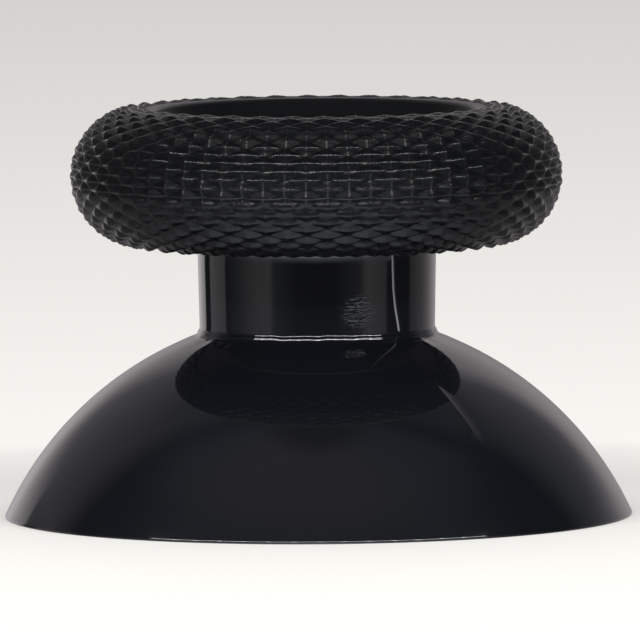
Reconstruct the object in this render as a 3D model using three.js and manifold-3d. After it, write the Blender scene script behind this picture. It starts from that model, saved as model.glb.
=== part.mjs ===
// Thumbstick cap of a game controller, moulded in one piece.
// A knurled head with a dished top stands on a round neck over a hollow dome,
// and a boss inside the dome holds the socket for the joystick's stem.
// Millimetres, +Z up. The origin is the centre of the dome's bottom edge.

import * as THREE from "three";
import { mergeVertices } from "three/addons/utils/BufferGeometryUtils.js";
import Module from "manifold-3d";

const wasm = await Module();
wasm.setup();

// Head: a rim of round section, sized over the peaks of its knurl
const HEAD_DIAMETER = 16.0;
const RIM_THICKNESS = 4.58;
const RIM_CENTRE_HEIGHT = 11.11;

// Turn of the mould's parting plane about the axis, from the front towards +X
const PARTING_TURN = 37.6;

// Knurl: rows of four-sided points, from the underside round to the lip
const KNURL_HEIGHT = 0.11;
const DIAMONDS_AROUND = 36;
const DIAMOND_ROWS = 13;
const KNURL_LOWEST_ANGLE = -94;
const KNURL_HIGHEST_ANGLE = 86;

// Dish in the top of the head
const LIP_WIDTH = 0.38;
const LIP_ROUNDING = 0.3;
const DISH_DEPTH = 1.25;
const DISH_WALL_WIDTH = 0.5;
const DISH_WALL_HEIGHT = 0.7;
const DISH_CORNER_RADIUS = 0.6;

// Neck, slightly thinner at its foot
const NECK_TOP_DIAMETER = 7.77;
const NECK_FOOT_DIAMETER = 7.66;
const NECK_TOP_FILLET = 0.3;
const NECK_FOOT_FILLET = 0.32;

// Dome: a ball-shaped shell around the joystick's pivot, open below
const DOME_OUTER_RADIUS = 11.23;
const PIVOT_DEPTH = 4.62;
const DOME_WALL = 1.0;
const DOME_EDGE_ROUNDING = 0.06;

// Boss inside the dome, and its socket with two flats
const BOSS_DIAMETER = 6.6;
const BOSS_RECESS = 0.5;
const BOSS_FILLET = 0.5;
const SOCKET_DIAMETER = 4.1;
const SOCKET_ACROSS_FLATS = 3.1;
const SOCKET_DEPTH = 5.5;
const SOCKET_LEAD_IN = 0.3;

// Colour and finish of the moulded plastic
const PLASTIC_COLOUR = 0x1b1b1d;
const PLASTIC_ROUGHNESS = 0.45;

// Fineness of the faceted model
const SEGMENTS = 2 * DIAMONDS_AROUND;
const DOME_STEPS = 9;
const INNER_DOME_STEPS = 6;
const FILLET_STEPS = 3;
const FLOOR_STEPS = 5;
const SOCKET_CURVE_STEPS = 10;
const CUTTER_OVERSHOOT = 1;

// Sizes that follow from the ones above
const rimRadius = RIM_THICKNESS / 2;
const grooveRadius = rimRadius - KNURL_HEIGHT;
const rimCentre = new THREE.Vector2(HEAD_DIAMETER / 2 - rimRadius, RIM_CENTRE_HEIGHT);
const domeInnerRadius = DOME_OUTER_RADIUS - DOME_WALL;
const pivot = new THREE.Vector2(0, -PIVOT_DEPTH);
const knurlStart = THREE.MathUtils.degToRad(KNURL_LOWEST_ANGLE);
const knurlEnd = THREE.MathUtils.degToRad(KNURL_HIGHEST_ANGLE);
const partingTurn = THREE.MathUtils.degToRad(PARTING_TURN);

// Point of the section at an angle on a circle: x is outwards, y is up
function onCircle(centre, radius, angle) {
  return new THREE.Vector2(centre.x + radius * Math.cos(angle), centre.y + radius * Math.sin(angle));
}

// Points of an arc in the section, both ends included
function arc(centre, radius, from, to, steps) {
  const points = [];
  for (let k = 0; k <= steps; k++) {
    points.push(onCircle(centre, radius, from + ((to - from) * k) / steps));
  }
  return points;
}

// Angle of the line from one point of the section to another
function angleTo(from, to) {
  return Math.atan2(to.y - from.y, to.x - from.x);
}

// Arc that rounds the corner between two straight lines of the section
function roundedCorner(before, corner, after, radius) {
  const back = before.clone().sub(corner).normalize();
  const ahead = after.clone().sub(corner).normalize();
  const halfAngle = Math.acos(back.dot(ahead)) / 2;
  const reach = radius / Math.tan(halfAngle);
  const toCentre = back.clone().add(ahead).normalize();
  const centre = corner.clone().addScaledVector(toCentre, radius / Math.sin(halfAngle));
  const start = angleTo(centre, corner.clone().addScaledVector(back, reach));
  const end = angleTo(centre, corner.clone().addScaledVector(ahead, reach));
  const sweep = THREE.MathUtils.euclideanModulo(end - start + Math.PI, 2 * Math.PI) - Math.PI;
  return arc(centre, radius, start, start + sweep, FILLET_STEPS);
}

// Flat end of the boss, its side, and the fillet to the inside of the dome
function bossOutline() {
  const side = BOSS_DIAMETER / 2;
  const filletX = side + BOSS_FILLET;
  const filletY = pivot.y + Math.sqrt((domeInnerRadius - BOSS_FILLET) ** 2 - filletX ** 2);
  const filletCentre = new THREE.Vector2(filletX, filletY);
  return [
    new THREE.Vector2(0, BOSS_RECESS),
    new THREE.Vector2(side, BOSS_RECESS),
    ...arc(filletCentre, BOSS_FILLET, Math.PI, angleTo(pivot, filletCentre), FILLET_STEPS),
  ];
}

// Inside of the dome, from the boss's fillet down to the bottom edge
function innerDomeOutline(filletEnd) {
  const edge = new THREE.Vector2(Math.sqrt(domeInnerRadius ** 2 - PIVOT_DEPTH ** 2), 0);
  const from = angleTo(pivot, filletEnd);
  return arc(pivot, domeInnerRadius, from, angleTo(pivot, edge), INNER_DOME_STEPS).slice(1);
}

// Rounded bottom edge, the outside of the dome and the fillet at the neck's foot
function outerDomeOutline() {
  const edgeReach = DOME_OUTER_RADIUS - DOME_EDGE_ROUNDING;
  const edgeX = Math.sqrt(edgeReach ** 2 - (PIVOT_DEPTH + DOME_EDGE_ROUNDING) ** 2);
  const edgeCentre = new THREE.Vector2(edgeX, DOME_EDGE_ROUNDING);
  const filletX = NECK_FOOT_DIAMETER / 2 + NECK_FOOT_FILLET;
  const filletY = pivot.y + Math.sqrt((DOME_OUTER_RADIUS + NECK_FOOT_FILLET) ** 2 - filletX ** 2);
  const filletCentre = new THREE.Vector2(filletX, filletY);
  const lowest = angleTo(pivot, edgeCentre);
  const highest = angleTo(pivot, filletCentre);
  return [
    ...arc(edgeCentre, DOME_EDGE_ROUNDING, -Math.PI / 2, lowest, FILLET_STEPS),
    ...arc(pivot, DOME_OUTER_RADIUS, lowest, highest, DOME_STEPS).slice(1),
    ...arc(filletCentre, NECK_FOOT_FILLET, highest - Math.PI, -Math.PI, FILLET_STEPS).slice(1),
  ];
}

// Groove lines around the rim, one point for every half row of diamonds
function knurlOutline() {
  return arc(rimCentre, grooveRadius, knurlStart, knurlEnd, 2 * DIAMOND_ROWS);
}

// Fillet from the neck to the flat underside of the head
function neckTopOutline(neckFoot, undersideEdge) {
  const corner = new THREE.Vector2(NECK_TOP_DIAMETER / 2, undersideEdge.y);
  return roundedCorner(neckFoot, corner, undersideEdge, NECK_TOP_FILLET);
}

// Rounded lip, steep wall and shallow hollow floor of the dish, in to the axis
function dishOutline() {
  const lip = onCircle(rimCentre, grooveRadius, Math.PI / 2);
  const lipInner = new THREE.Vector2(lip.x - LIP_WIDTH, lip.y);
  const wallFoot = new THREE.Vector2(lipInner.x - DISH_WALL_WIDTH, lip.y - DISH_WALL_HEIGHT);
  const bottom = new THREE.Vector2(0, lip.y - DISH_DEPTH);
  const fall = wallFoot.y - bottom.y;
  const floorRadius = (wallFoot.x ** 2 + fall ** 2) / (2 * fall);
  const floorCentre = new THREE.Vector2(0, bottom.y + floorRadius);
  const floorEdge = angleTo(floorCentre, wallFoot);
  const floor = arc(floorCentre, floorRadius, floorEdge, -Math.PI / 2, FLOOR_STEPS);
  return [
    lip,
    ...roundedCorner(lip, lipInner, wallFoot, LIP_ROUNDING),
    ...roundedCorner(lipInner, wallFoot, floor[1], DISH_CORNER_RADIUS),
    ...floor.slice(1, -1),
    bottom,
  ];
}

// Whole section of the cap, without the socket, from the axis round to the axis
function capOutline() {
  const boss = bossOutline();
  const dome = outerDomeOutline();
  const knurl = knurlOutline();
  const beforeKnurl = [
    ...boss,
    ...innerDomeOutline(boss.at(-1)),
    ...dome,
    ...neckTopOutline(dome.at(-1), knurl[0]),
  ];
  return { points: [...beforeKnurl, ...knurl, ...dishOutline()], knurlFrom: beforeKnurl.length };
}

// True for the point of the turned grid that is the middle of a diamond
function isPeak(segment, row) {
  return row > 0 && row < 2 * DIAMOND_ROWS && (segment + row) % 2 === 0;
}

// Lifts the middle of each diamond out of the groove lines
function raisePeaks(position, pointCount, knurlFrom) {
  const halfRow = (knurlEnd - knurlStart) / (2 * DIAMOND_ROWS);
  const halfColumn = (2 * Math.PI) / SEGMENTS;
  for (let segment = 0; segment <= SEGMENTS; segment++) {
    const turn = partingTurn + halfColumn * (segment % SEGMENTS);
    for (let row = 0; row <= 2 * DIAMOND_ROWS; row++) {
      if (isPeak(segment, row)) {
        const peak = onCircle(rimCentre, rimRadius, knurlStart + halfRow * row);
        const vertex = segment * pointCount + knurlFrom + row;
        position.setXYZ(vertex, peak.x * Math.sin(turn), peak.y, peak.x * Math.cos(turn));
      }
    }
  }
}

// Triangles of the turned grid, with those of the knurl folded along its grooves
function gridTriangles(pointCount, knurlFrom) {
  const index = [];
  for (let segment = 0; segment < SEGMENTS; segment++) {
    for (let point = 0; point < pointCount - 1; point++) {
      const a = segment * pointCount + point;
      const b = a + pointCount;
      const row = point - knurlFrom;
      if (isPeak(segment, row) || isPeak(segment + 1, row + 1)) {
        index.push(a, b, a + 1, b, b + 1, a + 1);
      } else {
        index.push(a, b, b + 1, a, b + 1, a + 1);
      }
    }
  }
  return index;
}

// Welds a closed surface, and drops the triangles that shrank to a line at the axis
function toSolid(surface) {
  const bare = surface.clone();
  bare.deleteAttribute("normal");
  bare.deleteAttribute("uv");
  const welded = mergeVertices(bare);
  const corners = welded.getIndex().array;
  const triangles = [];
  for (let k = 0; k < corners.length; k += 3) {
    const [a, b, c] = corners.slice(k, k + 3);
    if (a !== b && b !== c && c !== a) triangles.push(a, b, c);
  }
  return new wasm.Manifold(
    new wasm.Mesh({
      numProp: 3,
      vertProperties: new Float32Array(welded.getAttribute("position").array),
      triVerts: new Uint32Array(triangles),
    })
  );
}

// Surface of a finished solid, ready for a mesh
function toGeometry(solid) {
  const mesh = solid.getMesh();
  const geometry = new THREE.BufferGeometry();
  geometry.setAttribute("position", new THREE.BufferAttribute(mesh.vertProperties, 3));
  geometry.setIndex(new THREE.BufferAttribute(mesh.triVerts, 1));
  geometry.computeVertexNormals();
  return geometry;
}

// The moulding before its socket is sunk
function body() {
  const { points, knurlFrom } = capOutline();
  const lathe = new THREE.LatheGeometry(points, SEGMENTS, partingTurn);
  raisePeaks(lathe.getAttribute("position"), points.length, knurlFrom);
  lathe.setIndex(gridTriangles(points.length, knurlFrom));
  lathe.rotateX(Math.PI / 2);
  return toSolid(lathe);
}

// Hole for the joystick's stem: round, with a flat on each side of the parting plane
function socket() {
  const radius = SOCKET_DIAMETER / 2;
  const flatEnd = Math.asin(SOCKET_ACROSS_FLATS / SOCKET_DIAMETER);
  const section = new THREE.Shape();
  section.absarc(0, 0, radius, -flatEnd, flatEnd, false);
  section.absarc(0, 0, radius, Math.PI - flatEnd, Math.PI + flatEnd, false);
  section.closePath();
  const hole = new THREE.ExtrudeGeometry(section, {
    depth: SOCKET_DEPTH + CUTTER_OVERSHOOT,
    bevelEnabled: false,
    curveSegments: SOCKET_CURVE_STEPS,
  });
  hole.rotateZ(partingTurn - Math.PI / 2);
  hole.translate(0, 0, BOSS_RECESS - CUTTER_OVERSHOOT);
  return toSolid(hole);
}

// Countersink that guides the stem into the socket
function leadIn() {
  const reach = SOCKET_DIAMETER / 2 + SOCKET_LEAD_IN + CUTTER_OVERSHOOT;
  const cone = new THREE.ConeGeometry(reach, reach, SEGMENTS);
  cone.rotateX(Math.PI / 2);
  cone.rotateZ(partingTurn);
  cone.translate(0, 0, BOSS_RECESS - CUTTER_OVERSHOOT + reach / 2);
  return toSolid(cone);
}

const plastic = new THREE.MeshStandardMaterial({
  color: PLASTIC_COLOUR,
  roughness: PLASTIC_ROUGHNESS,
  metalness: 0,
});

const cap = new THREE.Mesh(toGeometry(body().subtract(socket()).subtract(leadIn())), plastic);
cap.name = "thumbstick_cap";

const thumbstick = new THREE.Group();
thumbstick.add(cap);

export default thumbstick;
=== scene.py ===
# Thumbstick cap of a game controller: one black plastic moulding with a
# knurled, dished head on a polished neck over a polished hollow dome.
import math
import random

import bmesh
import bpy
from mathutils import Matrix, Vector


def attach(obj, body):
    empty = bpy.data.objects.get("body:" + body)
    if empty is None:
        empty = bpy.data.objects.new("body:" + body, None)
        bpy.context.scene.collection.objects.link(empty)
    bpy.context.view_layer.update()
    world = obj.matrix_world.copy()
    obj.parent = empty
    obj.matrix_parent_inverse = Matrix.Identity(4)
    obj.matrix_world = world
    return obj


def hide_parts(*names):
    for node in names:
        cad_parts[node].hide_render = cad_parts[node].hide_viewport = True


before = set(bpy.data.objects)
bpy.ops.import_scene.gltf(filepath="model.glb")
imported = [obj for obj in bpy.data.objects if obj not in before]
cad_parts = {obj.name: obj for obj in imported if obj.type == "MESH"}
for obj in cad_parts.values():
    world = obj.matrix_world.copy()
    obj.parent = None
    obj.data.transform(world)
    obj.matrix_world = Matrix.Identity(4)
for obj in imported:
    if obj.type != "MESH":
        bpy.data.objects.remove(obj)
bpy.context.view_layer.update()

# Lengths are in millimetres and angles in degrees, also those of the mesh until
# it is finished. Until then the mould's parting plane holds the X axis.
METRES = 0.001
UP = Vector((0, 0, 1))
SECTION_AXIS = Vector((0, -1, 0))
PARTING_TURN = 37.6

# Points closer than the first length become one, and a point within the second
# of a face is on it
MERGE_GAP = 0.001
ON_FACE = 0.01

# Rim of the head, and its knurl of four-sided points. A point is two columns wide
# and two rows high, and the rows follow each other round the rim's section. The
# points stand higher than the rim's radius by the sharpening, before they are
# worn by up to the scatter and their ridges are rounded. Their sides bulge more
# with more crowning. The last rows, on the lip, have a share of the height.
RIM_RADIUS = 2.305
RIM_RING_RADIUS = 5.71
RIM_HEIGHT = 11.11
KNURL_HEIGHT = 0.12
KNURL_SHARPENING = 0.025
KNURL_CROWNING = 1.45
KNURL_COLUMNS = 72
KNURL_ROWS = 26
KNURL_LOWEST = -94.0
KNURL_HIGHEST = 95.0
RIDGE_ROUNDING = 0.032
PEAK_SCATTER = 0.012
WEAR_SEED = 11
LAST_ROWS_SHARES = (0.3, 0.5)

# An edge this near to a line between two columns or rows, in columns or rows,
# is on it
ON_LINE = 0.1

# The knurl's texture is shallower below this height. Above it, only the ridges
# are rubbed smoother, and a ridge is level if this much of its run is.
DEEP_TEXTURE_BOTTOM = RIM_HEIGHT - 0.4
LEVEL_SHARE = 0.7

# Dish in the top of the head
LIP_WIDTH = 0.38
LIP_ROUNDING = 0.3
DISH_WALL_WIDTH = 0.5
DISH_WALL_HEIGHT = 0.7
DISH_CORNER_ROUNDING = 0.6
DISH_DEPTH = 1.25

# Neck
NECK_TOP_RADIUS = 3.885
NECK_FOOT_RADIUS = 3.83
NECK_TOP_FILLET = 0.3
NECK_FOOT_FILLET = 0.25
NECK_FOOT_START = 10
NECK_LEDGE_FILLET = 0.2
NECK_LEDGE_SLOPE = 45

# Ripple of the step at the foot of the neck: its height, the radius that it
# reaches, the depth of its middle under the dome's top with the half height of
# its band, and its waves to a turn with their phases in radians
RIPPLE_HEIGHT = 0.007
RIPPLE_OUTER_RADIUS = 4.5
RIPPLE_DEPTH = 0.6
RIPPLE_HALF_BAND = 0.4
RIPPLE_WAVES = ((9, 0), (23, 1), (41, 0))

# Dome, with the boss and the socket for the stem inside it
DOME_RADIUS = 11.23
DOME_WALL = 1.0
PIVOT = Vector((0, 0, -4.62))
DOME_EDGE_ROUNDING = 0.05
DOME_EDGE_LOOP = 0.1
BOSS_RADIUS = 3.3
BOSS_RECESS = 0.5
BOSS_FILLET = 0.5
SOCKET_RADIUS = 2.05
SOCKET_HALF_FLATS = 1.55
SOCKET_DEPTH = 5.5
SOCKET_LEAD_IN = 0.3

# Flash that the mould leaves along its parting line. Its crest leans aside by a
# share of its height, and it ends a gap below the rim. It was torn off down to a
# Above a depth under the dome's top it is painted pale grey, a painted highlight for the light
# that it catches.
FLASH_HALF_WIDTH = 0.035
FLASH_LEAN = 0.5
FLASH_END_GAP = 0.1
FLASH_HIGHLIGHT_DEPTH = 0.3

# How high it stands at each height on the cap
FLASH_HEIGHTS = (
    (0, 0), (2.9, 0), (3.1, 0.022), (4.4, 0.02),
    (4.9, 0.006), (5.8, 0.005), (6.2, 0.035), (9, 0.035),
)

# How far the line strays from the parting plane at each height, in degrees, and
# the turn to both sides that moves along with it
FLASH_STRAYS = (
    (0, 0.8), (3.2, 0.8), (5.2, -1.1), (5.8, 0), (6.2, 6),
    (6.9, 3.4), (7.6, 2), (8.9, 1.2), (9, 0),
)
FLASH_REACH = 16

# A point above the dome and this near to the neck's foot radius is on the neck
NECK_FACE_REACH = 0.3

# Two lathe segments to each column of the knurl
SEGMENTS = 2 * KNURL_COLUMNS

# Edges that fold by more than this stay sharp
SHARP_ANGLE = 38

# Finishes of the moulding after the textured one, in the order of its materials. The last is the
# flash's pale painted highlight.
WORN, BURNISHED, POLISHED, PAINTED_FLASH_HIGHLIGHT = range(1, 5)

groove_radius = RIM_RADIUS - KNURL_HEIGHT
rim_centre = Vector((RIM_RING_RADIUS, 0, RIM_HEIGHT))
dome_top = PIVOT.z + DOME_RADIUS


def on_circle(centre, radius, angle):
    """Point of the section at an angle, in degrees, on a circle."""
    turn = math.radians(angle)
    return centre + radius * Vector((math.cos(turn), 0, math.sin(turn)))


def angle_to(start, end):
    """Angle of a line of the section, in degrees."""
    return math.degrees(math.atan2(end.z - start.z, end.x - start.x))


def draw_line(bm, tip, place, steps=1):
    """Carries the tip of an outline straight to a place."""
    start = tip.co.copy()
    for step in range(1, steps + 1):
        tip = bmesh.ops.extrude_vert_indiv(bm, verts=[tip])["verts"][0]
        tip.co = start.lerp(place, step / steps)
    return tip


def draw_arc(bm, tip, centre, turn, steps):
    """Carries the tip of an outline round a centre, by degrees."""
    swept = bmesh.ops.spin(
        bm, geom=[tip], cent=centre, axis=SECTION_AXIS, angle=math.radians(turn), steps=steps
    )
    return swept["geom_last"][0]


def round_corner(bm, corner, radius, steps):
    """Rounds the corner of an outline that a tip has already left."""
    before, after = [(e.other_vert(corner).co - corner.co).normalized() for e in corner.link_edges]
    half_angle = before.angle(after) / 2
    bmesh.ops.bevel(
        bm,
        geom=[corner],
        offset=radius / math.tan(half_angle),
        offset_type="OFFSET",
        segments=steps,
        profile=0.5,
        affect="VERTICES",
        material=-1,
    )


def draw_underside(bm):
    """Outline from the socket's end, round the dome and up the neck, to the knurl."""
    tip = bm.verts.new((0, 0, BOSS_RECESS + SOCKET_DEPTH))
    tip = draw_line(bm, tip, Vector((SOCKET_RADIUS, 0, BOSS_RECESS + SOCKET_DEPTH)))
    tip = draw_line(bm, tip, Vector((SOCKET_RADIUS, 0, BOSS_RECESS + SOCKET_LEAD_IN)))
    tip = draw_line(bm, tip, Vector((SOCKET_RADIUS + SOCKET_LEAD_IN, 0, BOSS_RECESS)))
    tip = draw_line(bm, tip, Vector((BOSS_RADIUS, 0, BOSS_RECESS)))

    inner_radius = DOME_RADIUS - DOME_WALL
    fillet_x = BOSS_RADIUS + BOSS_FILLET
    fillet_z = PIVOT.z + math.sqrt((inner_radius - BOSS_FILLET) ** 2 - fillet_x**2)
    fillet = Vector((fillet_x, 0, fillet_z))
    tip = draw_line(bm, tip, Vector((BOSS_RADIUS, 0, fillet_z)))
    crown = angle_to(PIVOT, fillet)
    tip = draw_arc(bm, tip, fillet, crown - 180, steps=8)
    inner_foot = Vector((math.sqrt(inner_radius**2 - PIVOT.z**2), 0, 0))
    tip = draw_arc(bm, tip, PIVOT, angle_to(PIVOT, inner_foot) - crown, steps=16)

    edge_reach = DOME_RADIUS - DOME_EDGE_ROUNDING
    edge_z = DOME_EDGE_ROUNDING
    edge = Vector((math.sqrt(edge_reach**2 - (edge_z - PIVOT.z) ** 2), 0, edge_z))
    lowest = angle_to(PIVOT, edge)
    tip = draw_line(bm, tip, Vector((edge.x, 0, 0)))
    tip = draw_arc(bm, tip, edge, lowest + 90, steps=4)

    neck_face = Vector((NECK_FOOT_RADIUS, 0, 0))
    ledge_centre = neck_face + Vector((NECK_LEDGE_FILLET, 0, 0))
    step = on_circle(ledge_centre, NECK_LEDGE_FILLET, 180 + NECK_LEDGE_SLOPE)
    foot_x = on_circle(step, NECK_FOOT_FILLET, NECK_FOOT_START).x
    foot_z = PIVOT.z + math.sqrt((DOME_RADIUS + NECK_FOOT_FILLET) ** 2 - foot_x**2)
    foot = Vector((foot_x, 0, foot_z))
    highest = angle_to(PIVOT, foot)
    tip = draw_arc(bm, tip, PIVOT, DOME_EDGE_LOOP, steps=1)
    tip = draw_arc(bm, tip, PIVOT, highest - lowest - DOME_EDGE_LOOP, steps=30)
    tip = draw_arc(bm, tip, foot, NECK_FOOT_START - highest, steps=8)
    ledge = on_circle(tip.co, NECK_LEDGE_FILLET, NECK_LEDGE_SLOPE)
    tip = draw_arc(bm, tip, ledge, -NECK_LEDGE_SLOPE, steps=6)

    knurl_start = on_circle(rim_centre, groove_radius, KNURL_LOWEST)
    tip = draw_line(bm, tip, Vector((NECK_TOP_RADIUS, 0, knurl_start.z)), steps=10)
    corner = tip
    draw_line(bm, tip, knurl_start)
    round_corner(bm, corner, NECK_TOP_FILLET, steps=6)


def draw_dish(bm):
    """Outline from the knurl's upper edge, over the lip and down the dish, to the axis."""
    top = on_circle(rim_centre, groove_radius, 90)
    lip = top - Vector((LIP_WIDTH, 0, 0))
    wall_foot = lip - Vector((DISH_WALL_WIDTH, 0, DISH_WALL_HEIGHT))
    bottom = Vector((0, 0, top.z - DISH_DEPTH))
    fall = wall_foot.z - bottom.z
    floor_radius = (wall_foot.x**2 + fall**2) / (2 * fall)
    floor_centre = bottom + floor_radius * UP
    floor_turn = -90 - angle_to(floor_centre, wall_foot)

    tip = bm.verts.new(on_circle(rim_centre, groove_radius, KNURL_HIGHEST))
    lip_corner = draw_line(bm, tip, lip)
    wall_corner = draw_line(bm, lip_corner, wall_foot)
    draw_arc(bm, wall_corner, floor_centre, floor_turn, steps=10)
    round_corner(bm, lip_corner, LIP_ROUNDING, steps=6)
    round_corner(bm, wall_corner, DISH_CORNER_ROUNDING, steps=6)


def turn_outlines(bm):
    """Sweeps the outlines once round the axis and closes the poles."""
    bmesh.ops.spin(
        bm,
        geom=bm.verts[:] + bm.edges[:],
        cent=(0, 0, 0),
        axis=UP,
        angle=2 * math.pi,
        steps=SEGMENTS,
        use_merge=True,
    )
    bmesh.ops.remove_doubles(bm, verts=bm.verts[:], dist=MERGE_GAP)


def turn_of(place):
    """Turn of a point about the axis from the parting plane, in degrees."""
    return math.degrees(math.atan2(place.y, place.x))


def press_socket(bm):
    """Presses the two flats into the round socket, with the lead-in cut to them."""
    mouth = SOCKET_RADIUS + SOCKET_LEAD_IN
    for vert in bm.verts:
        radius = vert.co.xy.length
        across = abs(vert.co.y)
        on_socket = abs(radius - SOCKET_RADIUS) < ON_FACE and vert.co.z > BOSS_RECESS
        if on_socket and across > SOCKET_HALF_FLATS:
            pressed = radius * SOCKET_HALF_FLATS / across
            vert.co.xy *= pressed / radius
            if vert.co.z < BOSS_RECESS + 2 * SOCKET_LEAD_IN:
                vert.co.z = BOSS_RECESS + mouth - pressed


def between(table, height):
    """Value at a height in a table of heights and values, in straight stretches."""
    for (low, start), (high, end) in zip(table, table[1:]):
        if height <= high:
            share = max(0, height - low) / (high - low)
            return start + (end - start) * share
    return table[-1][1]


def on_outer_face(place):
    """True on the neck and on the outside of the dome, clear of their ends."""
    if place.z > dome_top:
        near_neck = abs(place.xy.length - NECK_FOOT_RADIUS) < NECK_FACE_REACH
        return near_neck and place.z < RIM_HEIGHT - RIM_RADIUS - FLASH_END_GAP
    return (place - PIVOT).length > DOME_RADIUS - ON_FACE and place.z > 2 * DOME_EDGE_ROUNDING


def ripple_foot(bm):
    """Makes the step at the foot of the neck slightly wavy, as it is moulded."""
    for vert in bm.verts:
        in_band = abs(vert.co.z - (dome_top - RIPPLE_DEPTH)) < RIPPLE_HALF_BAND
        if in_band and NECK_FOOT_RADIUS < vert.co.xy.length < RIPPLE_OUTER_RADIUS:
            way = math.radians(turn_of(vert.co))
            wave = sum(math.sin(waves * way + phase) for waves, phase in RIPPLE_WAVES)
            vert.co.z += RIPPLE_HEIGHT * wave


def raise_flash(bm):
    """Raises the thin flash of the parting line on the neck and the dome."""
    line = [
        edge
        for edge in bm.edges
        if all(abs(vert.co.y) < MERGE_GAP and on_outer_face(vert.co) for vert in edge.verts)
    ]
    raised = bmesh.ops.bevel(
        bm,
        geom=line,
        offset=FLASH_HALF_WIDTH,
        offset_type="OFFSET",
        segments=2,
        profile=0.5,
        affect="EDGES",
        material=-1,
    )
    # The flash on the neck and the top of the dome is painted pale grey, a painted highlight
    for face in raised["faces"]:
        if face.calc_center_median().z > dome_top - FLASH_HIGHLIGHT_DEPTH:
            face.material_index = PAINTED_FLASH_HIGHLIGHT
    bm.normal_update()
    crest = [v for v in bm.verts if abs(v.co.y) < MERGE_GAP and on_outer_face(v.co)]
    lift = {vert: vert.normal.copy() for vert in crest}
    for vert in crest:
        outwards = 1 if lift[vert].dot(vert.co - PIVOT) > 0 else -1
        height = between(FLASH_HEIGHTS, vert.co.z)
        vert.co += outwards * height * lift[vert]
        vert.co.rotate(Matrix.Rotation(-FLASH_LEAN * height / vert.co.xy.length, 3, UP))
    for vert in bm.verts:
        if on_outer_face(vert.co):
            away = math.remainder(turn_of(vert.co), 180)
            share = max(0, 1 - abs(away) / FLASH_REACH)
            stray = between(FLASH_STRAYS, vert.co.z) * share * share * (3 - 2 * share)
            vert.co.rotate(Matrix.Rotation(math.radians(stray), 3, UP))


def knurl_lift(column, row, wear):
    """Height over the grooves of a point of the unrolled knurl.

    Each diamond is a four-sided point whose sides bulge a little, and each is
    worn a little differently. The last rows are lower.
    """
    half_sum, half_difference = round((column + row) / 2), round((column - row) / 2)
    peak_column, peak_row = half_sum + half_difference, half_sum - half_difference
    if not 0 < peak_row < KNURL_ROWS:
        return 0
    height = KNURL_HEIGHT + KNURL_SHARPENING
    height -= PEAK_SCATTER * wear[peak_column % KNURL_COLUMNS][peak_row]
    if peak_row >= KNURL_ROWS - len(LAST_ROWS_SHARES):
        height *= LAST_ROWS_SHARES[peak_row - KNURL_ROWS]
    reach = min(1, abs(column - peak_column) + abs(row - peak_row))
    return height * (1 - reach**KNURL_CROWNING)


def knurl_band():
    """Knurl: a grid folded along its grooves, wrapped round the rim, with rounded ridges."""
    bm = bmesh.new()
    bmesh.ops.create_grid(bm, x_segments=KNURL_COLUMNS, y_segments=KNURL_ROWS, size=1)
    bmesh.ops.transform(
        bm,
        matrix=Matrix.Diagonal((KNURL_COLUMNS / 2, KNURL_ROWS / 2, 1, 1))
        @ Matrix.Translation((1, 1, 0)),
        verts=bm.verts[:],
    )
    falling, rising = [], []
    for face in bm.faces:
        column = round(min(vert.co.x for vert in face.verts))
        row = round(min(vert.co.y for vert in face.verts))
        (rising if (column + row) % 2 else falling).append(face)
    bmesh.ops.triangulate(bm, faces=falling, quad_method="ALTERNATE", ngon_method="BEAUTY")
    bmesh.ops.triangulate(bm, faces=rising, quad_method="FIXED", ngon_method="BEAUTY")

    bmesh.ops.subdivide_edges(bm, edges=bm.edges[:], cuts=1, use_grid_fill=True)

    is_ridge = bm.edges.layers.int.new("ridge")
    for edge in bm.edges:
        start, end = (vert.co for vert in edge.verts)
        run, rise = abs(start.x - end.x), abs(start.y - end.y)
        along_row = rise < ON_LINE and abs(start.y - round(start.y)) < ON_LINE
        along_column = run < ON_LINE and abs(start.x - round(start.x)) < ON_LINE
        low, high = sorted((start.y, end.y))
        inside = ON_LINE < low and high < KNURL_ROWS - ON_LINE
        edge[is_ridge] = inside and (along_row or along_column)

    chance = random.Random(WEAR_SEED)
    wear = [[chance.random() for row in range(KNURL_ROWS)] for column in range(KNURL_COLUMNS)]
    for vert in bm.verts:
        column, row = vert.co.x, vert.co.y
        lift = knurl_lift(column, row, wear)
        angle = KNURL_LOWEST + (KNURL_HIGHEST - KNURL_LOWEST) * row / KNURL_ROWS
        place = on_circle(rim_centre, groove_radius + lift, angle)
        vert.co = Matrix.Rotation(2 * math.pi * column / KNURL_COLUMNS, 3, UP) @ place
    bmesh.ops.remove_doubles(bm, verts=bm.verts[:], dist=MERGE_GAP)

    ridges = [edge for edge in bm.edges if edge[is_ridge]]
    rounded = bmesh.ops.bevel(
        bm,
        geom=ridges,
        offset=RIDGE_ROUNDING,
        offset_type="OFFSET",
        segments=2,
        profile=0.5,
        affect="EDGES",
        clamp_overlap=True,
        material=-1,
    )
    for face in rounded["faces"]:
        place = face.calc_center_median()
        level = Vector((-place.y, place.x, 0)).normalized()
        runs = [edge.verts[1].co - edge.verts[0].co for edge in face.edges]
        run = max(runs, key=lambda way: way.length)
        is_level = abs(run.dot(level)) > LEVEL_SHARE * run.length
        face.material_index = BURNISHED if is_level else WORN
    for face in bm.faces:
        if face.calc_center_median().z < DEEP_TEXTURE_BOTTOM:
            face.material_index = WORN
    return bm


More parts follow.
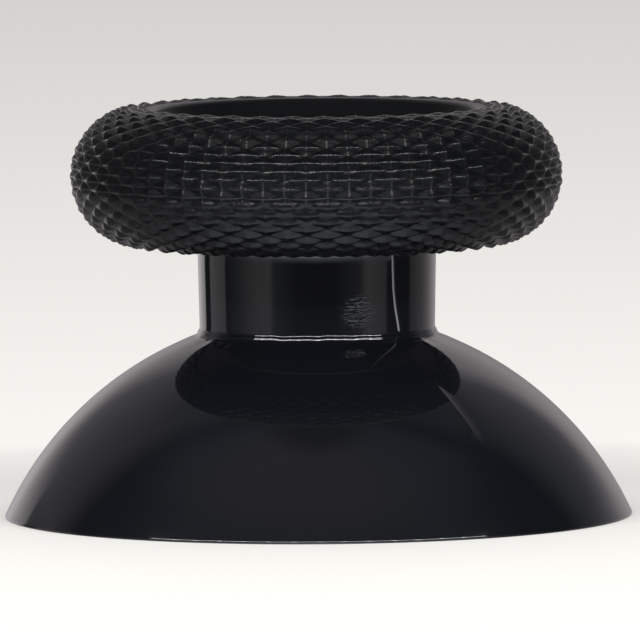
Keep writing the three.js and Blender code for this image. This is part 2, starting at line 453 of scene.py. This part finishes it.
def moulding():
    """The whole cap as one closed mesh object in metres."""
    bm = knurl_band()
    lathe = bmesh.new()
    draw_underside(lathe)
    draw_dish(lathe)
    turn_outlines(lathe)
    press_socket(lathe)
    ripple_foot(lathe)
    underside = RIM_HEIGHT - groove_radius + ON_FACE
    lip_foot = RIM_HEIGHT + groove_radius - LIP_ROUNDING
    for face in lathe.faces:
        height = face.calc_center_median().z
        if height < underside:
            face.material_index = POLISHED
        elif height > lip_foot:
            face.material_index = WORN
    raise_flash(lathe)

    swept = bpy.data.meshes.new("swept")
    lathe.to_mesh(swept)
    bm.from_mesh(swept)
    bpy.data.meshes.remove(swept)
    bmesh.ops.remove_doubles(bm, verts=bm.verts[:], dist=MERGE_GAP)
    bmesh.ops.recalc_face_normals(bm, faces=bm.faces[:])

    for face in bm.faces:
        face.smooth = True
    bmesh.ops.rotate(
        bm,
        verts=bm.verts[:],
        cent=(0, 0, 0),
        matrix=Matrix.Rotation(math.radians(PARTING_TURN - 90), 3, UP),
    )
    bmesh.ops.scale(bm, verts=bm.verts[:], vec=(METRES, METRES, METRES))
    mesh = bpy.data.meshes.new("thumbstick_moulding")
    bm.to_mesh(mesh)
    mesh.set_sharp_from_angle(angle=math.radians(SHARP_ANGLE))
    piece = bpy.data.objects.new("thumbstick_moulding", mesh)
    bpy.context.collection.objects.link(piece)
    return piece


def linear(hex_colour):
    """Linear colour with alpha from an sRGB hex value."""
    channels = [(hex_colour >> shift & 255) / 255 for shift in (16, 8, 0)]
    return [c / 12.92 if c <= 0.04045 else ((c + 0.055) / 1.055) ** 2.4 for c in channels] + [1]


def add_node(tree, kind, inputs=None, **settings):
    """Adds a node; an input is a value for its socket or another node's output."""
    node = tree.nodes.new(kind)
    for name, value in settings.items():
        setattr(node, name, value)
    for socket, value in (inputs or {}).items():
        if isinstance(value, bpy.types.NodeSocket):
            tree.links.new(value, node.inputs[socket])
        else:
            node.inputs[socket].default_value = value
    return node


def new_material(name):
    """An empty node material and its tree."""
    material = bpy.data.materials.new(name)
    material.use_nodes = True
    material.node_tree.nodes.clear()
    return material, material.node_tree


# Refractive index of ABS
ABS_IOR = 1.54

# Waviness and wrinkles of the polish: how many to the millimetre, how deep, and
# how many times flatter than wide the wrinkles are
WAVES_PER_MM = 0.4
WAVE_DEPTH = 0.002
WRINKLES_PER_MM = 4.5
WRINKLE_FLATTENING = 3
WRINKLE_DEPTH = 0.03

# Where the plastic has shrunk into wrinkles at the foot of the neck, in the
# turned cap, and how far they run whole and fade out
SHRINK_SPOT = Vector((1.38, -3.6, 6.85))
SHRINK_WHOLE = 0.2
SHRINK_END = 0.8

# Grain of the texture: how many to the millimetre, and how deep
GRAINS_PER_MM = 12
GRAIN_DEPTH = 0.012


def polished_abs():
    """ABS from a polished mould: near-black, with clear reflections.

    The polish is not quite flat: a faint waviness a few millimetres long bends
    the reflections a little, and there are fine wrinkles where it has shrunk.
    """
    material, tree = new_material("abs_moulded_polished")
    place = add_node(tree, "ShaderNodeTexCoord").outputs["Object"]
    waves = add_node(
        tree,
        "ShaderNodeTexNoise",
        {"Vector": place, "Scale": WAVES_PER_MM / METRES, "Detail": 1},
    )
    bump = add_node(
        tree,
        "ShaderNodeBump",
        {"Height": waves.outputs["Fac"], "Strength": 1, "Distance": WAVE_DEPTH * METRES},
    )
    flattened = add_node(
        tree,
        "ShaderNodeVectorMath",
        {0: place, 1: (1, 1, WRINKLE_FLATTENING)},
        operation="MULTIPLY",
    )
    wrinkles = add_node(
        tree,
        "ShaderNodeTexNoise",
        {"Vector": flattened.outputs[0], "Scale": WRINKLES_PER_MM / METRES, "Detail": 1},
    )
    away = add_node(
        tree, "ShaderNodeVectorMath", {0: place, 1: SHRINK_SPOT * METRES}, operation="DISTANCE"
    )
    depth = add_node(
        tree,
        "ShaderNodeMapRange",
        {
            "Value": away.outputs["Value"],
            "From Min": SHRINK_END * METRES,
            "From Max": SHRINK_WHOLE * METRES,
        },
        interpolation_type="SMOOTHSTEP",
    )
    bump = add_node(
        tree,
        "ShaderNodeBump",
        {
            "Height": wrinkles.outputs["Fac"],
            "Strength": depth.outputs["Result"],
            "Distance": WRINKLE_DEPTH * METRES,
            "Normal": bump.outputs["Normal"],
        },
    )
    surface = add_node(
        tree,
        "ShaderNodeBsdfPrincipled",
        {
            "Base Color": linear(0x0D0E12),
            "Roughness": 0.045,
            "IOR": ABS_IOR,
            "Normal": bump.outputs["Normal"],
        },
    )
    add_node(tree, "ShaderNodeOutputMaterial", {"Surface": surface.outputs["BSDF"]})
    return material


def textured_abs(name, roughness, sheen):
    """ABS from a spark-eroded mould: near-black with a soft, grainy sheen.

    The grain is about 0.08 mm, so the ridges of the knurl sparkle in dots. Where
    the texture is deep, its pits swallow most of the sheen. It is shallower under
    the rim, thumbs have worn the lip and the upright ridges as smooth as that,
    and they have burnished the level ridges.
    """
    material, tree = new_material(name)
    place = add_node(tree, "ShaderNodeTexCoord").outputs["Object"]
    grain = add_node(
        tree,
        "ShaderNodeTexNoise",
        {"Vector": place, "Scale": GRAINS_PER_MM / METRES, "Detail": 2},
    )
    bump = add_node(
        tree,
        "ShaderNodeBump",
        {"Height": grain.outputs["Fac"], "Strength": 1, "Distance": GRAIN_DEPTH * METRES},
    )
    surface = add_node(
        tree,
        "ShaderNodeBsdfPrincipled",
        {
            "Base Color": linear(0x090A0C),
            "Roughness": roughness,
            "IOR": ABS_IOR,
            "Specular IOR Level": sheen,
            "Normal": bump.outputs["Normal"],
        },
    )
    add_node(tree, "ShaderNodeOutputMaterial", {"Surface": surface.outputs["BSDF"]})
    return material


def painted_flash_highlight_abs():
    """Pale grey ABS on the flash: a painted highlight for the light that its line catches. It
    scatters the light.
    """
    material, tree = new_material("abs_painted_flash_highlight")
    surface = add_node(
        tree,
        "ShaderNodeBsdfPrincipled",
        {"Base Color": linear(0x8A8C90), "Roughness": 0.3, "IOR": ABS_IOR},
    )
    add_node(tree, "ShaderNodeOutputMaterial", {"Surface": surface.outputs["BSDF"]})
    return material


def painted_floor():
    """Studio floor in matt off-white paint: pale and even, with no shine."""
    material, tree = new_material("paint_matt_off_white")
    surface = add_node(
        tree,
        "ShaderNodeBsdfPrincipled",
        {"Base Color": linear(0xE4E2DE), "Roughness": 0.9, "Specular IOR Level": 0.1},
    )
    add_node(tree, "ShaderNodeOutputMaterial", {"Surface": surface.outputs["BSDF"]})
    return material


# Half the floor's width
FLOOR_REACH = 6000


def add_floor():
    """Large plain floor under the cap. Gloss sees the studio's light from below instead."""
    bm = bmesh.new()
    bmesh.ops.create_grid(bm, x_segments=1, y_segments=1, size=FLOOR_REACH * METRES)
    mesh = bpy.data.meshes.new("floor")
    bm.to_mesh(mesh)
    floor = bpy.data.objects.new("floor", mesh)
    bpy.context.collection.objects.link(floor)
    floor.data.materials.append(painted_floor())
    floor.visible_glossy = False


# Camera as it was fitted to the photograph
CAMERA_AIM = Vector((0.088, 0, 6.354))
CAMERA_ELEVATION = 4.457
CAMERA_DISTANCE = 400
CAMERA_LEAN = -0.4
SENSOR_WIDTH = 36
FOCAL_LENGTH = 691.2


def add_camera():
    """Long lens a little above the cap, leaning slightly as the photograph does."""
    aim = CAMERA_AIM * METRES
    elevation = math.radians(CAMERA_ELEVATION)
    distance = CAMERA_DISTANCE * METRES
    lens = bpy.data.cameras.new("camera")
    lens.sensor_width = SENSOR_WIDTH
    lens.lens = FOCAL_LENGTH
    camera = bpy.data.objects.new("camera", lens)
    camera.location = aim + distance * Vector((0, -math.cos(elevation), math.sin(elevation)))
    towards = (aim - camera.location).to_track_quat("-Z", "Y").to_matrix()
    lean = Matrix.Rotation(math.radians(CAMERA_LEAN), 3, "Z")
    camera.rotation_euler = (towards @ lean).to_euler()
    bpy.context.collection.objects.link(camera)
    bpy.context.scene.camera = camera


# Grey levels of the studio that the gloss reflects, by turn from the front
# towards +X: (turn, level) below, at the horizon, half way up and high up
STUDIO_RINGS = (
    ((-180, 0.3), (-100, 0.3), (-50, 1.2), (0, 1.8), (50, 1.2), (100, 0.3), (180, 0.3)),
    (
        (-180, 0.2), (-162, 0.9), (-142, 0.9), (-140, 0.03), (-129, 0.03), (-127, 0.42),
        (-102, 0.42), (-100, 0.06), (-85, 0.15), (-72, 0.3), (-62, 0.42), (-48, 0.48),
        (-42, 0.18), (-20, 0.06), (15, 0.05), (36, 0.14), (43, 0.2), (50, 0.5), (58, 0.44),
        (70, 0.34), (73, 0.06), (101, 0.04), (104, 0.2), (126, 0.33), (150, 0.6),
        (165, 0.5), (180, 0.2),
    ),
    (
        (-180, 0.6), (-163, 0.5), (-155, 0.27), (-120, 0.2), (-107, 0.03), (-90, 0.05),
        (-60, 0.15), (0, 0.15), (60, 0.12), (90, 0.03), (112, 0.02), (124, 0.15),
        (150, 0.25), (158, 0.6), (180, 0.6),
    ),
    (
        (-180, 0.1), (-122, 0.17), (-108, 0.08), (-85, 0.17), (-50, 0.22), (20, 0.22),
        (60, 0.17), (90, 0.12), (104, 0.04), (116, 0.1), (180, 0.1),
    ),
)
STUDIO_ZENITH = (0.06, 0.06, 0.06, 1)

# Elevations between which one ring passes into the next
BELOW_BLEND = (-8, -20)
MIDDLE_BLEND = (2, 22)
HIGH_BLEND = (40, 62)
ZENITH_BLEND = (74, 86)

# Level of the plain even light on everything that isn't gloss
EVEN_LIGHT = 0.7

# The studio's panels are slightly mauve. Its dark parts, and the brightest of
# its light, which is below, are slightly blue.
COOL_TINT = (0.94, 1, 1.13)
WARM_TINT = (1.03, 0.97, 1)
DIMMEST_PANEL = 0.2
BRIGHTEST_PANEL = 1


def add_ring(tree, turn, levels):
    """Ring of grey levels round the studio, as a ramp over the turn."""
    ramp = add_node(tree, "ShaderNodeValToRGB", {"Fac": turn})
    stops = ramp.color_ramp.elements
    while len(stops) < len(levels):
        stops.new(1)
    for stop, (degrees, level) in zip(stops, levels):
        stop.position = degrees / 360 + 0.5
        is_panel = DIMMEST_PANEL <= level <= BRIGHTEST_PANEL
        tint = WARM_TINT if is_panel else COOL_TINT
        stop.color = [level * share for share in tint] + [1]
    return ramp.outputs["Color"]


def blend_at(tree, elevation, blend, first, second):
    """Passes smoothly from the first colour to the second over a blend."""
    start, end = blend
    share = add_node(
        tree,
        "ShaderNodeMapRange",
        {
            "Value": elevation,
            "From Min": math.sin(math.radians(start)),
            "From Max": math.sin(math.radians(end)),
        },
        interpolation_type="SMOOTHSTEP",
    )
    # The node's colours are its inputs 6 and 7 and its output 2
    mix = add_node(
        tree,
        "ShaderNodeMix",
        {"Factor": share.outputs["Result"], 6: first, 7: second},
        data_type="RGBA",
    )
    return mix.outputs[2]


def light_world():
    """Plain even light, and a studio of soft grey panels for gloss to reflect."""
    world = bpy.data.worlds.new("studio")
    world.use_nodes = True
    tree = world.node_tree
    tree.nodes.clear()
    direction = add_node(tree, "ShaderNodeTexCoord").outputs["Generated"]
    axes = add_node(tree, "ShaderNodeSeparateXYZ", {"Vector": direction})
    front = add_node(
        tree, "ShaderNodeMath", {0: axes.outputs["Y"], 1: -1}, operation="MULTIPLY"
    )
    turn = add_node(
        tree,
        "ShaderNodeMath",
        {0: axes.outputs["X"], 1: front.outputs["Value"]},
        operation="ARCTAN2",
    )
    share = add_node(
        tree,
        "ShaderNodeMapRange",
        {"Value": turn.outputs["Value"], "From Min": -math.pi, "From Max": math.pi},
    ).outputs["Result"]
    below, horizon, middle, high = (add_ring(tree, share, levels) for levels in STUDIO_RINGS)
    studio = blend_at(tree, axes.outputs["Z"], MIDDLE_BLEND, horizon, middle)
    studio = blend_at(tree, axes.outputs["Z"], BELOW_BLEND, studio, below)
    studio = blend_at(tree, axes.outputs["Z"], HIGH_BLEND, studio, high)
    studio = blend_at(tree, axes.outputs["Z"], ZENITH_BLEND, studio, STUDIO_ZENITH)
    ray = add_node(tree, "ShaderNodeLightPath")
    even = add_node(
        tree, "ShaderNodeBackground", {"Color": linear(0xFFFFFF), "Strength": EVEN_LIGHT}
    )
    panels = add_node(tree, "ShaderNodeBackground", {"Color": studio, "Strength": 1})
    mix = add_node(
        tree,
        "ShaderNodeMixShader",
        {
            0: ray.outputs["Is Glossy Ray"],
            1: even.outputs["Background"],
            2: panels.outputs["Background"],
        },
    )
    add_node(tree, "ShaderNodeOutputWorld", {"Surface": mix.outputs["Shader"]})
    world.cycles.sampling_method = "NONE"
    bpy.context.scene.world = world


# Row of strip lamps in front of the cap, which gives the bright lines at the foot
# of the neck
STRIP_TURNS = range(-65, 66, 10)
STRIP_ELEVATION = 33
STRIP_DISTANCE = 500
STRIP_LENGTH = 88
STRIP_WIDTH = 30
STRIP_RADIANCE = 24
STRIP_TARGET = Vector((0, 0, 7))


def add_strip_lamp(turn):
    """Long thin soft box that faces the cap; its power is radiance times area times pi."""
    lamp = bpy.data.lights.new("strip", "AREA")
    lamp.shape = "RECTANGLE"
    length, width = STRIP_LENGTH * METRES, STRIP_WIDTH * METRES
    lamp.size = length
    lamp.size_y = width
    lamp.energy = STRIP_RADIANCE * length * width * math.pi
    holder = bpy.data.objects.new("strip", lamp)
    rise, way = math.radians(STRIP_ELEVATION), math.radians(turn)
    level = Vector((math.sin(way), -math.cos(way), 0))
    away = math.cos(rise) * level + math.sin(rise) * UP
    holder.location = (STRIP_TARGET + STRIP_DISTANCE * away) * METRES
    holder.rotation_euler = away.to_track_quat("Z", "Y").to_euler()
    bpy.context.collection.objects.link(holder)


cap = moulding()
for finish in (
    textured_abs("abs_moulded_spark_textured", roughness=0.42, sheen=0.085),
    textured_abs("abs_moulded_worn", roughness=0.3, sheen=0.235),
    textured_abs("abs_moulded_burnished", roughness=0.2, sheen=0.37),
    polished_abs(),
    # Pale grey painted highlight on the flash
    painted_flash_highlight_abs(),
):
    cap.data.materials.append(finish)
weighted = cap.modifiers.new("flat_facets", "WEIGHTED_NORMAL")
weighted.mode = "FACE_AREA"
weighted.keep_sharp = True
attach(cap, "root")
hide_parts("thumbstick_cap")

add_floor()
add_camera()
light_world()
for turn in STRIP_TURNS:
    add_strip_lamp(turn)

bpy.context.scene.view_settings.view_transform = "Standard"
